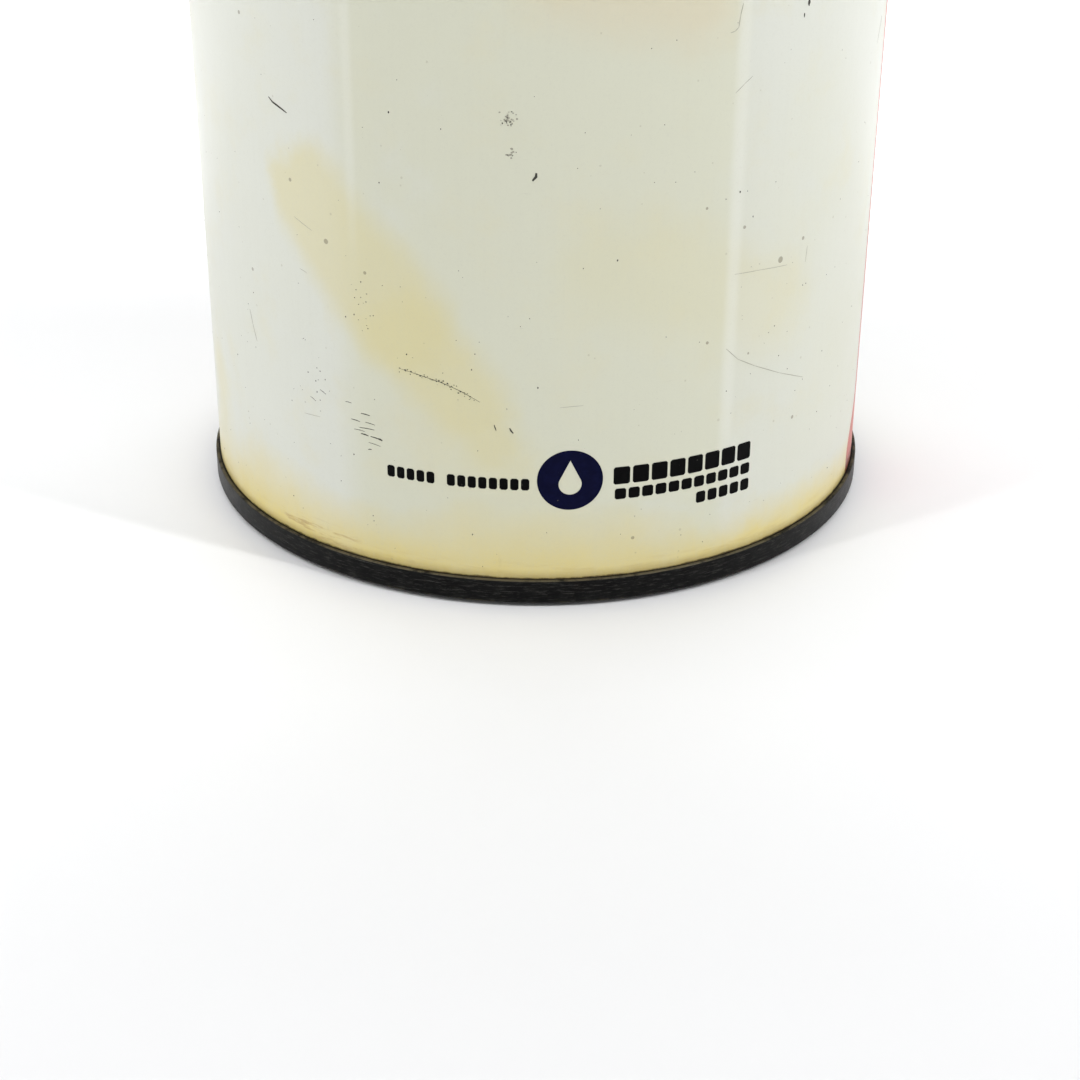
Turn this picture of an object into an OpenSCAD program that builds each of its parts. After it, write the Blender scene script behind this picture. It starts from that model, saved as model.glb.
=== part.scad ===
// Full-flow spin-on engine oil filter, cut into the pieces it is assembled from.
// Millimetres. The origin is the centre of the gasket's sealing face, +Z runs
// along the thread axis towards the domed end of the can.

/* [Can] */
// Outside diameter of the drawn can's wall
can_d = 91.7; // [88:0.1:95]
// Overall height from the gasket's sealing face to the top of the dome
total_h = 131.5; // [125:0.5:160]
// Sheet thickness of the can
can_t = 0.3; // [0.25:0.05:0.5]
// Radius of the shoulder between the wall and the domed end
shoulder_r = 9; // [5:0.5:12]
// Diameter of the raised panel in the middle of the domed end
dome_panel_d = 52; // [44:1:60]
// Height of the raised panel above the ring around it
dome_step = 0.8; // [0.4:0.1:1.5]

/* [Rolled seam] */
// How far each folded layer of the seam stands out
seam_layer = 0.2167; // [0.18:0.01:0.3]
// Height of the seam's lower edge above the gasket's sealing face
seam_z = 0.5; // [0.3:0.1:1.5]
// Height of the seam
seam_h = 3.35; // [3:0.05:4]

/* [Seaming lid and gasket] */
// Sheet thickness of the seaming lid
lid_t = 0.45; // [0.35:0.05:0.5]
// Inside diameter of the gasket
gasket_id = 62.5; // [61:0.5:63]
// Outside diameter of the gasket
gasket_od = 72; // [70:0.5:74]
// Thickness of the gasket
gasket_t = 5.74; // [5.2:0.02:6.2]
// How far the gasket stands out of the lid's land
gasket_proud = 2; // [1.6:0.1:2.4]

/* [Tapping plate] */
// Diameter of the thread bore, at the crests of the thread
bore_d = 17.4; // [17.3:0.02:17.7]
// Thickness of the plate
plate_t = 3; // [2.5:0.25:3.5]
// Outside diameter of the plate
plate_d = 82; // [80:0.5:84]
// Outside diameter of the hub drawn up around the thread
hub_d = 23.5; // [22.5:0.25:23.5]
// Height of the hub above the inner face of the plate
hub_h = 9; // [8:0.25:9.5]
// Number of oil inlet holes
inlet_n = 8; // [6:1:10]
// Diameter of each inlet hole
inlet_d = 8; // [6:0.5:8.5]
// Diameter of the circle through the inlet holes
inlet_pcd = 45; // [43:1:47]

/* [Element] */
// Height of the underside of the lower end cap
element_z = 16; // [15.5:0.25:16.5]
// Length of the element over its end caps
element_h = 96; // [90:0.5:98]
// Diameter of the end caps
cap_d = 81.2; // [80:0.2:84]
// Sheet thickness of the end caps and of the centre tube
cap_t = 0.4; // [0.35:0.05:0.5]
// Height of the end caps' skirts
skirt_h = 4; // [3.5:0.25:6]
// Depth of the adhesive in each end cap
potting_h = 2.5; // [1.5:0.25:3]
// Outside diameter of the centre tube
tube_d = 30; // [29.6:0.1:30.4]
// Diameter of the holes in the centre tube
perf_d = 4; // [3:0.5:5]
// Number of pleats in the filter paper
pleats = 60; // [40:1:64]
// Thickness of the filter paper
paper_t = 0.6; // [0.5:0.05:0.6]
// Diameter over the outer folds of the paper
media_d = 78.4; // [76:0.2:79]

/* [Bypass valve] */
// Diameter of the hole that the valve closes in the upper end cap
seat_d = 18; // [16:0.5:19]
// Outside diameter of the valve's cage
cage_d = 25; // [24.5:0.25:26]
// Length of the cage below the upper end cap
cage_h = 15.6; // [15:0.1:17]
// Diameter of the valve's stem
stem_d = 3; // [2.6:0.1:3.2]

/* [Springs] */
// Wire diameter of the element spring
espring_wire = 2; // [1.6:0.1:2.2]
// Mean diameter of the element spring
espring_d = 32; // [31:0.5:33]
// Turns of the element spring
espring_n = 5; // [4:0.5:6]
// Wire diameter of the bypass valve spring
vspring_wire = 1; // [0.8:0.1:1.1]
// Mean diameter of the bypass valve spring
vspring_d = 12; // [11:0.5:13]
// Turns of the bypass valve spring
vspring_n = 6; // [5:0.5:7]

/* [Hidden] */
$fn = 96;

can_r = can_d / 2;
can_ri = can_r - can_t;
ring_z = total_h - dome_step;          // ring around the raised panel
wall_top = ring_z - shoulder_r;
hook_r = can_r + seam_layer;           // outside of the lid's hook
body_r = can_r + 2 * seam_layer;       // outside of the can's hook
seam_r = can_r + 3 * seam_layer;       // outside of the seam
seam_top = seam_z + seam_h;
gi = gasket_id / 2;
go = gasket_od / 2;
plate_z = gasket_t + lid_t;            // outer face of the tapping plate
plate_top = plate_z + plate_t;
bore_r = bore_d / 2;
hub_r = hub_d / 2;
hub_top = plate_top + hub_h;
el_top = element_z + element_h;
cap_r = cap_d / 2;
tube_r = tube_d / 2;
seat_r = seat_d / 2;
cage_r = cage_d / 2;
cage_t = 0.5;
cage_low = el_top - cap_t - cage_h;    // underside of the cage's inward flange
facing_top = el_top - cap_t - 0.02;
facing_t = 1.6;
vplate_t = 0.8;
vplate_z = facing_top - facing_t - vplate_t;
retainer_t = 0.8;
retainer_z = cage_low + cage_t;
seat_ring_t = 0.5;
media_z = element_z + cap_t + potting_h;
media_h = element_h - 2 * (cap_t + potting_h);
media_ro = media_d / 2 - paper_t / 2;
media_ri = tube_r + 1.3 + paper_t / 2;

// Points of a circular arc from angle a0 to a1 about (x, y)
function arc(x, y, r, a0, a1, n = 6) =
    [for (i = [0:n]) let (a = a0 + (a1 - a0) * i / n) [x + r * cos(a), y + r * sin(a)]];

// One radial profile turned about the axis
module turned(points) { rotate_extrude($fn = 144) polygon(points); }

// ---------------------------------------------------------------- housing

// Deep drawn can: open end flanged outwards and hooked up inside the seam
module can() {
    st = 0.8;
    pr = dome_panel_d / 2;
    color([0.87, 0.87, 0.80])
    turned(concat(
        [[can_ri, seam_z + 0.5], [body_r, seam_z + 0.5], [body_r, seam_top - 0.65],
         [hook_r, seam_top - 0.65], [hook_r, seam_z + 0.72], [can_r, seam_z + 0.72]],
        arc(can_r - shoulder_r, wall_top, shoulder_r, 0, 90, 14),
        arc(pr + 1.4, ring_z + st, st, 270, 225, 3),
        arc(pr, total_h - st, st, 45, 90, 3),
        [[0, total_h], [0, total_h - can_t]],
        arc(pr, total_h - st, st - can_t, 90, 45, 3),
        arc(pr + 1.4, ring_z + st, st + can_t, 225, 270, 3),
        arc(can_r - shoulder_r, wall_top, shoulder_r - can_t, 90, 0, 14)));
}

// Pressed lid: gasket groove, flat land, countersink, chuck wall and seam hook
module seaming_lid() {
    t = lid_t;
    land = gasket_proud;
    cs = seam_z + 3.5;                 // floor of the countersink
    color([0.16, 0.16, 0.17])
    turned(concat(
        // outer face, from the inner lip to the seam
        [[gi - t, land + 0.9], [gi, land + 0.9], [gi, gasket_t], [go, gasket_t]],
        arc(go + 0.7, land + 0.7, 0.7, 180, 270, 5),
        arc(go + 5.2, land + 1.5, 1.5, 270, 315, 3),
        arc(can_ri - 2.1, cs - 0.8, 0.8, 135, 90, 3),
        arc(can_ri - t - 0.5, cs - 0.5, 0.5, 90, 0, 4),
        arc(can_ri - t + 0.3, seam_z + 0.3, 0.3, 180, 270, 4),
        arc(seam_r - 0.3, seam_z + 0.3, 0.3, 270, 360, 4),
        arc(seam_r - 0.3, seam_top - 0.3, 0.3, 0, 90, 4),
        // hook inside the seam and back along the inner face
        [[can_r, seam_top - 0.1], [can_r, seam_z + 0.95], [hook_r, seam_z + 0.95],
         [hook_r, seam_top - seam_layer - 0.1], [body_r, seam_top - seam_layer - 0.1],
         [body_r, seam_z + seam_layer], [can_ri, seam_z + seam_layer]],
        [[can_ri, cs + t]],
        arc(can_ri - 2.1, cs - 0.8, 0.8 + t, 90, 135, 3),
        arc(go + 5.2, land + 1.5, 1.5 - t, 315, 270, 3),
        arc(go + t + 0.25, land + t + 0.25, 0.25, 270, 180, 3),
        [[go + t, gasket_t + t], [gi - t, gasket_t + t]]));
}

// Sealing compound between the lid and the can's flange
module seam_sealant() {
    color([0.55, 0.45, 0.3])
    turned([[can_ri, seam_z + seam_layer], [body_r, seam_z + seam_layer],
            [body_r, seam_z + 0.5], [can_ri, seam_z + 0.5]]);
}

// Thick plate with the threaded hub drawn inwards and a ring of inlet holes
module tapping_plate() {
    color([0.55, 0.55, 0.57])
    difference() {
        turned(concat(
            arc(bore_r + 2.5, plate_z + 2, 2, 270, 180, 6),
            [[bore_r, plate_z + 2.5], [bore_r, hub_top - 0.8], [bore_r + 0.8, hub_top]],
            arc(hub_r - 0.5, hub_top - 0.5, 0.5, 90, 0, 3),
            arc(hub_r + 0.2, plate_top + 0.2, 0.2, 180, 270, 3),
            arc(plate_d / 2 - 0.6, plate_top - 0.6, 0.6, 90, 0, 3),
            [[plate_d / 2, plate_z]]));
        for (i = [0:inlet_n - 1])
            rotate([0, 0, (i + 0.5) * 360 / inlet_n])
                translate([inlet_pcd / 2, 0, plate_z - 1])
                    cylinder(d = inlet_d, h = plate_t + 2, $fn = 48);
    }
}

// Rubber ring that seals on the engine, held in the lid's groove
module base_gasket() {
    c = 0.5;
    color([0.07, 0.07, 0.07])
    turned(concat(
        arc(gi + c, c, c, 180, 270, 4),
        arc(go - c, c, c, 270, 360, 4),
        [[go, gasket_t], [gi, gasket_t]]));
}

// Rubber flap that covers the inlet holes from inside
module anti_drainback_valve() {
    p = plate_top;
    lip = inlet_pcd / 2 + 9;
    color([0.12, 0.12, 0.13])
    turned([[hub_r + 0.3, p + 0.02], [hub_r + 2, p + 0.02], [hub_r + 2.1, p + 2.9],
            [lip - 3.2, p + 0.75], [lip - 1.9, p + 0.02], [lip - 0.3, p + 0.02],
            [lip, p + 0.4], [lip - 0.2, p + 1.2], [lip - 2.4, p + 1.75],
            [hub_r + 4.6, p + 4.4], [hub_r + 3.6, p + 5.4],
            [hub_r + 3.4, element_z - 0.02], [hub_r + 0.3, element_z - 0.02]]);
}

// ---------------------------------------------------------------- element

// Pressed cap: disc with an outer skirt; up = 1 opens upwards, -1 downwards
module end_cap(z, up, hole_r) {
    translate([0, 0, z])
    mirror([0, 0, up > 0 ? 0 : 1])
    turned(concat(
        [[hole_r, cap_t], [hole_r, 0]],
        arc(cap_r - 1, 1, 1, 270, 360, 5),
        [[cap_r, skirt_h], [cap_r - cap_t, skirt_h]],
        arc(cap_r - 1, 1, 1 - cap_t, 360, 270, 5)));
}

module bottom_end_cap() { color([0.72, 0.70, 0.62]) end_cap(element_z, 1, hub_r + 0.45); }

module top_end_cap() { color([0.72, 0.70, 0.62]) end_cap(el_top, -1, seat_r); }

// Adhesive ring that fills an end cap around the ends of the paper
module potting_ring(z) {
    color([0.80, 0.45, 0.25])
    turned([[tube_r, z], [cap_r - cap_t - 0.6, z], [cap_r - cap_t, z + 0.6],
            [cap_r - cap_t, z + potting_h], [tube_r, z + potting_h]]);
}

module bottom_potting() { potting_ring(element_z + cap_t); }

module top_potting() {
    translate([0, 0, 2 * (el_top - cap_t) - potting_h - (el_top - cap_t - potting_h)])
        mirror([0, 0, 1]) potting_ring(0);
}

// Perforated tube that holds the paper up against the oil pressure
module center_tube() {
    rows = 8;
    z0 = element_z + cap_t;
    len = element_h - 2 * cap_t;
    color([0.66, 0.66, 0.64])
    difference() {
        translate([0, 0, z0]) linear_extrude(len) difference() {
            circle(r = tube_r, $fn = 64);
            circle(r = tube_r - cap_t, $fn = 64);
        }
        for (k = [0:rows - 1], i = [0:9])
            translate([0, 0, z0 + len * (k + 0.5) / rows])
                rotate([0, 90, i * 36 + (k % 2) * 18])
                    translate([0, 0, tube_r - 3]) cylinder(d = perf_d, h = 6, $fn = 16);
    }
}

// Centreline of the folded paper: both ends lie side by side at angle 0
fold = 360 / pleats;
tip_i = 20 / media_ri;                 // half width of an inner fold, degrees
tip_o = 46 / media_ro;                 // half width of an outer fold, degrees
end_a = 0.47;
function polar(r, a) = [r * cos(a), r * sin(a)];
line = concat(
    [polar(media_ro, end_a)],
    [for (k = [0:pleats - 1], j = [0:(k < pleats - 1 ? 3 : 1)])
        j == 0 ? polar(media_ri, (k + 0.5) * fold - tip_i) :
        j == 1 ? polar(media_ri, (k + 0.5) * fold + tip_i) :
        j == 2 ? polar(media_ro, (k + 1) * fold - tip_o) :
                 polar(media_ro, (k + 1) * fold + tip_o)],
    [polar(media_ro, -end_a)]);
function unit(v) = v / norm(v);
function left(v) = [-v[1], v[0]];
// Offset of point i of the centreline by d to its left, mitred at the folds
function side(i, d) =
    let (n = len(line),
         a = unit(line[min(i + 1, n - 1)] - line[min(i, n - 2)]),
         b = unit(line[max(i, 1)] - line[max(i - 1, 0)]),
         m = unit(left(a) + left(b)))
    line[i] + m * d / (m * left(a));

// Pleated paper
module filter_media() {
    n = len(line);
    color([0.86, 0.74, 0.45])
    translate([0, 0, media_z]) linear_extrude(media_h)
        polygon(concat([for (i = [0:n - 1]) side(i, paper_t / 2)],
                       [for (i = [n - 1:-1:0]) side(i, -paper_t / 2)]));
}

// Channel crimped over the two ends of the paper
module media_seam_clip() {
    ro = media_d / 2 + 0.35;
    color([0.70, 0.71, 0.72])
    translate([0, 0, media_z]) linear_extrude(media_h)
        polygon([[ro - 5, 1.05], [ro - 0.3, 1.05], [ro - 0.3, -1.05], [ro - 5, -1.05],
                 [ro - 5, -1.35], [ro, -1.35], [ro, 1.35], [ro - 5, 1.35]]);
}

// ----------------------------------------------------------- bypass valve

// Cage under the upper end cap, with four windows for the oil
module bypass_valve_housing() {
    top = el_top - cap_t;
    color([0.74, 0.72, 0.55])
    difference() {
        turned([[cage_r - cage_t, top], [tube_r - cap_t - 0.1, top],
                [tube_r - cap_t - 0.1, top - 0.5], [cage_r, top - 0.5],
                [cage_r, cage_low], [cage_r - 3, cage_low],
                [cage_r - 3, cage_low + cage_t], [cage_r - cage_t, cage_low + cage_t]]);
        for (i = [0:3])
            rotate([0, 0, 45 + i * 90])
                translate([cage_r - 2, -4, cage_low + 3.4])
                    cube([4, 8, cage_h - 6.4]);
    }
}

// Disc in the bottom of the cage that carries the spring and guides the stem
module bypass_spring_retainer() {
    r = cage_r - cage_t;
    color([0.68, 0.68, 0.70])
    difference() {
        translate([0, 0, retainer_z]) cylinder(r = r, h = retainer_t);
        translate([0, 0, retainer_z - 1]) cylinder(r = stem_d / 2 + 0.08, h = 3, $fn = 48);
        for (i = [0:5])
            rotate([0, 0, i * 60]) translate([9.3, 0, retainer_z - 1])
                cylinder(d = 2.2, h = 3, $fn = 24);
    }
}

// Steel disc that backs the valve's facing
module bypass_valve_plate() {
    color([0.62, 0.62, 0.64])
    turned([[stem_d / 2, vplate_z], [10.1, vplate_z], [10.4, vplate_z + 0.3],
            [10.4, vplate_z + vplate_t], [stem_d / 2, vplate_z + vplate_t]]);
}

// Rubber disc that closes on the upper end cap
module bypass_valve_facing() {
    z = vplate_z + vplate_t;
    color([0.10, 0.10, 0.11])
    turned([[stem_d / 2, z], [10.8, z], [10.8, facing_top - 0.3],
            [10.5, facing_top], [stem_d / 2, facing_top]]);
}

// Rivet that holds the facing on its plate and runs in the retainer
module bypass_valve_stem() {
    r = stem_d / 2;
    color([0.70, 0.70, 0.72])
    turned([[0, facing_top + 0.7], [2.4, facing_top + 0.7], [3, facing_top + 0.3],
            [3, facing_top], [r, facing_top], [r, vplate_z], [r + 0.9, vplate_z],
            [r + 0.9, vplate_z - 0.6], [r, vplate_z - 0.9], [r, cage_low - 2.6],
            [r - 0.5, cage_low - 3.1], [0, cage_low - 3.1]]);
}

// ---------------------------------------------------------------- springs

// Round wire coil from z0 to z1 with one closed turn at each end
module coil(z0, z1, d, wire, turns, seg = 24, ring = 8) {
    h = z1 - z0 - wire;
    dead = 1.08 * wire;
    n = round(turns * seg);
    // height of the wire's centre after a turns, closed at both ends
    function lift(a) =
        a < 1 ? dead * a :
        a > turns - 1 ? h - dead * (turns - a) :
        dead + (h - 2 * dead) * (a - 1) / (turns - 2);
    pts = [for (i = [0:n], j = [0:ring - 1])
        let (a = i * turns / n, b = j * 360 / ring + 22.5,
             r = d / 2 + wire / 2 * cos(b))
        [r * cos(a * 360), r * sin(a * 360),
         z0 + wire / 2 + lift(a) + wire / 2 * sin(b)]];
    faces = concat(
        [[for (j = [0:ring - 1]) j]],
        [[for (j = [ring - 1:-1:0]) n * ring + j]],
        [for (i = [0:n - 1], j = [0:ring - 1])
            let (k = (j + 1) % ring)
            [i * ring + j, (i + 1) * ring + j, (i + 1) * ring + k, i * ring + k]]);
    polyhedron(pts, faces, convexity = 8);
}

module bypass_valve_spring() {
    color([0.75, 0.76, 0.78])
    coil(retainer_z + retainer_t + 0.03, vplate_z - 0.03, vspring_d, vspring_wire,
         vspring_n, 20);
}

// Ring that seats the element spring on the upper end cap
module spring_seat() {
    r = espring_d / 2;
    color([0.66, 0.67, 0.70])
    turned([[seat_r + 2, el_top], [r + 2.4, el_top], [r + 3, el_top + 0.6],
            [r + 3, el_top + 2.4], [r + 2.5, el_top + 2.4], [r + 2.5, el_top + 0.8],
            [r + 2.2, el_top + seat_ring_t], [seat_r + 2, el_top + seat_ring_t]]);
}

// Coil between the domed end and the element
module element_spring() {
    color([0.42, 0.43, 0.46])
    coil(el_top + seat_ring_t + 0.03, total_h - can_t - 0.03, espring_d, espring_wire,
         espring_n, 24);
}

can();
seaming_lid();
seam_sealant();
tapping_plate();
base_gasket();
anti_drainback_valve();
bottom_end_cap();
bottom_potting();
center_tube();
filter_media();
media_seam_clip();
top_potting();
top_end_cap();
bypass_valve_housing();
bypass_spring_retainer();
bypass_valve_plate();
bypass_valve_facing();
bypass_valve_stem();
bypass_valve_spring();
spring_seat();
element_spring();
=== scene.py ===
import math
import random

import bmesh
import bpy
from mathutils import Matrix, Vector, noise


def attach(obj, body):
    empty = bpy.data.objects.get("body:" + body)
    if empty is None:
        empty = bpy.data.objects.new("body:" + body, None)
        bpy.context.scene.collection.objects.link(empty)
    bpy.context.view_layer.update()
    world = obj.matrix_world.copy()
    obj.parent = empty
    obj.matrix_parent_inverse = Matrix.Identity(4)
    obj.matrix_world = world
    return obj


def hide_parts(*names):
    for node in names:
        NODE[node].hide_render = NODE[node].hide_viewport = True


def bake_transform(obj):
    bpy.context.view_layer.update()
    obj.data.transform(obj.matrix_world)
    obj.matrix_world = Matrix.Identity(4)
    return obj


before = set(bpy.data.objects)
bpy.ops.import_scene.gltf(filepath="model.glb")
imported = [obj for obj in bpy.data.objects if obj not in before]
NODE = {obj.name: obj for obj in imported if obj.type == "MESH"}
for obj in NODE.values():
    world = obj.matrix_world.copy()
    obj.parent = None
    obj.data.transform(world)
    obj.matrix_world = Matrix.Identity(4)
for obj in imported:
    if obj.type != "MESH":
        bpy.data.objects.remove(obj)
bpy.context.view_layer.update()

MM = 0.001

# ------------------------------------------------------------------ sizes, in mm, as the CAD has them
CAN_R, CAN_T = 45.85, 0.3
CAN_RI = CAN_R - CAN_T
TOTAL_H, DOME_STEP, SHOULDER = 131.5, 0.8, 9.0
RING_Z = TOTAL_H - DOME_STEP
LAYER = 0.2167
SEAM_Z, SEAM_TOP, SEAM_R = 0.5, 3.85, CAN_R + 3 * LAYER
LID_T, GI, GO, GASKET_T, LAND = 0.45, 31.25, 36.0, 5.74, 2.0
PLATE_Z = GASKET_T + LID_T
PLATE_T, PLATE_R = 3.0, 41.0
PLATE_TOP = PLATE_Z + PLATE_T
BORE_R, HUB_R, HUB_TOP = 8.7, 11.75, PLATE_TOP + 9.0
EL_Z, EL_TOP, CAP_R, CAP_T = 16.0, 112.0, 40.6, 0.4
TUBE_R, SEAT_R, CAGE_R, CAGE_T = 15.0, 9.0, 12.5, 0.5
CAGE_LOW = EL_TOP - CAP_T - 15.6
FACING_TOP = EL_TOP - CAP_T - 0.02
VPLATE_Z = FACING_TOP - 2.4
RETAINER_Z = CAGE_LOW + CAGE_T

# ------------------------------------------------------------------ the camera
cam_data = bpy.data.cameras.new("camera")
cam = bpy.data.objects.new("camera", cam_data)
bpy.context.scene.collection.objects.link(cam)
cam_data.sensor_width = 36.0
cam_data.lens = 70.37
cam_data.clip_start, cam_data.clip_end = 0.01, 20.0
pitch, roll, yaw = math.radians(27.87), math.radians(0.35), math.radians(0.14)
fwd = Vector((math.sin(yaw) * math.cos(pitch), math.cos(yaw) * math.cos(pitch), -math.sin(pitch)))
right = Vector((math.cos(yaw), -math.sin(yaw), 0))
up = right.cross(fwd)
r2 = math.cos(roll) * right + math.sin(roll) * up
u2 = -math.sin(roll) * right + math.cos(roll) * up
cam.matrix_world = Matrix((
    (r2.x, u2.x, -fwd.x, 0.0), (r2.y, u2.y, -fwd.y, -0.2816),
    (r2.z, u2.z, -fwd.z, 0.1341), (0, 0, 0, 1)))
bpy.context.scene.camera = cam
bpy.context.scene.view_settings.view_transform = "Standard"
bpy.context.scene.view_settings.look = "None"


# ------------------------------------------------------------------ shader helper
class Graph:
    """Builds one node material."""

    def __init__(self, name):
        self.mat = bpy.data.materials.new(name)
        self.mat.use_nodes = True
        self.nt = self.mat.node_tree
        self.nt.nodes.clear()
        self.out = self.nt.nodes.new("ShaderNodeOutputMaterial")
        self.bsdf = self.nt.nodes.new("ShaderNodeBsdfPrincipled")
        self.nt.links.new(self.bsdf.outputs[0], self.out.inputs[0])
        co = self.nt.nodes.new("ShaderNodeTexCoord")
        sc = self.nt.nodes.new("ShaderNodeVectorMath")
        sc.operation = "SCALE"
        sc.inputs["Scale"].default_value = 1000.0
        self.nt.links.new(co.outputs["Object"], sc.inputs[0])
        self.pos = sc.outputs[0]  # millimetres
        sep = self.nt.nodes.new("ShaderNodeSeparateXYZ")
        self.nt.links.new(self.pos, sep.inputs[0])
        self.x, self.y, self.z = sep.outputs

    def put(self, sock, v):
        if isinstance(v, bpy.types.NodeSocket):
            self.nt.links.new(v, sock)
        elif isinstance(v, (tuple, list)) and sock.type == "RGBA":
            sock.default_value = (*v[:3], 1.0)
        else:
            sock.default_value = v

    def m(self, op, a, b=0.0, c=0.0, clamp=False):
        n = self.nt.nodes.new("ShaderNodeMath")
        n.operation, n.use_clamp = op, clamp
        for s, v in zip(n.inputs, (a, b, c)):
            self.put(s, v)
        return n.outputs[0]

    def add(self, a, b): return self.m("ADD", a, b)
    def sub(self, a, b): return self.m("SUBTRACT", a, b)
    def mul(self, a, b): return self.m("MULTIPLY", a, b)
    def mx(self, a, b): return self.m("MAXIMUM", a, b)
    def mn(self, a, b): return self.m("MINIMUM", a, b)

    def ss(self, x, lo, hi, a=0.0, b=1.0):
        """a below lo, b above hi, smooth between."""
        n = self.nt.nodes.new("ShaderNodeMapRange")
        n.interpolation_type, n.clamp = "SMOOTHSTEP", True
        if lo > hi:
            lo, hi, a, b = hi, lo, b, a
        for s, v in zip(n.inputs[:5], (x, lo, hi, a, b)):
            self.put(s, v)
        return n.outputs[0]

    def vec(self, x, y, z=0.0):
        n = self.nt.nodes.new("ShaderNodeCombineXYZ")
        for s, v in zip(n.inputs, (x, y, z)):
            self.put(s, v)
        return n.outputs[0]

    def stretch(self, v, k):
        n = self.nt.nodes.new("ShaderNodeVectorMath")
        n.operation = "MULTIPLY"
        self.put(n.inputs[0], v)
        n.inputs[1].default_value = k
        return n.outputs[0]

    def shift(self, v, k):
        n = self.nt.nodes.new("ShaderNodeVectorMath")
        n.operation = "ADD"
        self.put(n.inputs[0], v)
        n.inputs[1].default_value = k
        return n.outputs[0]

    def noise(self, vec, scale, detail=3.0, rough=0.5, lac=2.0):
        n = self.nt.nodes.new("ShaderNodeTexNoise")
        self.put(n.inputs["Vector"], vec)
        n.inputs["Scale"].default_value = scale
        n.inputs["Detail"].default_value = detail
        n.inputs["Roughness"].default_value = rough
        n.inputs["Lacunarity"].default_value = lac
        return n.outputs[0]

    def cells(self, vec, scale, feature="F1", rnd=1.0):
        n = self.nt.nodes.new("ShaderNodeTexVoronoi")
        n.feature = feature
        self.put(n.inputs["Vector"], vec)
        n.inputs["Scale"].default_value = scale
        n.inputs["Randomness"].default_value = rnd
        return n

    def mix(self, f, a, b, blend="MIX"):
        n = self.nt.nodes.new("ShaderNodeMix")
        n.data_type, n.blend_type = "RGBA", blend
        n.clamp_factor = True
        self.put(n.inputs[0], f)
        self.put(n.inputs[6], a)
        self.put(n.inputs[7], b)
        return n.outputs[2]

    def bump(self, height, strength, distance, normal=None):
        n = self.nt.nodes.new("ShaderNodeBump")
        n.inputs["Strength"].default_value = strength
        n.inputs["Distance"].default_value = distance * MM
        self.put(n.inputs["Height"], height)
        if normal is not None:
            self.put(n.inputs["Normal"], normal)
        return n.outputs[0]

    def set(self, **k):
        names = {"color": "Base Color", "rough": "Roughness", "metal": "Metallic", "ior": "IOR",
                 "normal": "Normal", "coat": "Coat Weight", "coat_rough": "Coat Roughness",
                 "sheen": "Sheen Weight", "spec": "Specular IOR Level", "sss": "Subsurface Weight",
                 "aniso": "Anisotropic"}
        for a, v in k.items():
            self.put(self.bsdf.inputs[names[a]], v)
        return self.mat

    def wall(self):
        """Distance round the can from the front, and height, both in mm, as sockets."""
        ang = self.m("ARCTAN2", self.x, self.mul(self.y, -1.0))
        return self.mul(ang, CAN_R), self.z

    def blob(self, p, a, b, inner, outer):
        """1 within inner mm of the line from a to b, 0 beyond outer."""
        ax, ay = a
        bx, by = b
        length2 = max((bx - ax) ** 2 + (by - ay) ** 2, 1e-9)
        rel = self.shift(p, (-ax, -ay, 0.0))
        dot = self.nt.nodes.new("ShaderNodeVectorMath")
        dot.operation = "DOT_PRODUCT"
        self.put(dot.inputs[0], rel)
        dot.inputs[1].default_value = ((bx - ax) / length2, (by - ay) / length2, 0.0)
        t = self.m("ADD", dot.outputs["Value"], 0.0, clamp=True)
        back = self.nt.nodes.new("ShaderNodeVectorMath")
        back.operation = "MULTIPLY_ADD"
        self.put(back.inputs[0], self.vec(t, t, 0.0))
        back.inputs[1].default_value = (-(bx - ax), -(by - ay), 0.0)
        self.put(back.inputs[2], rel)
        length = self.nt.nodes.new("ShaderNodeVectorMath")
        length.operation = "LENGTH"
        self.put(length.inputs[0], back.outputs[0])
        return self.ss(length.outputs["Value"], inner, outer, 1.0, 0.0)


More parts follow.
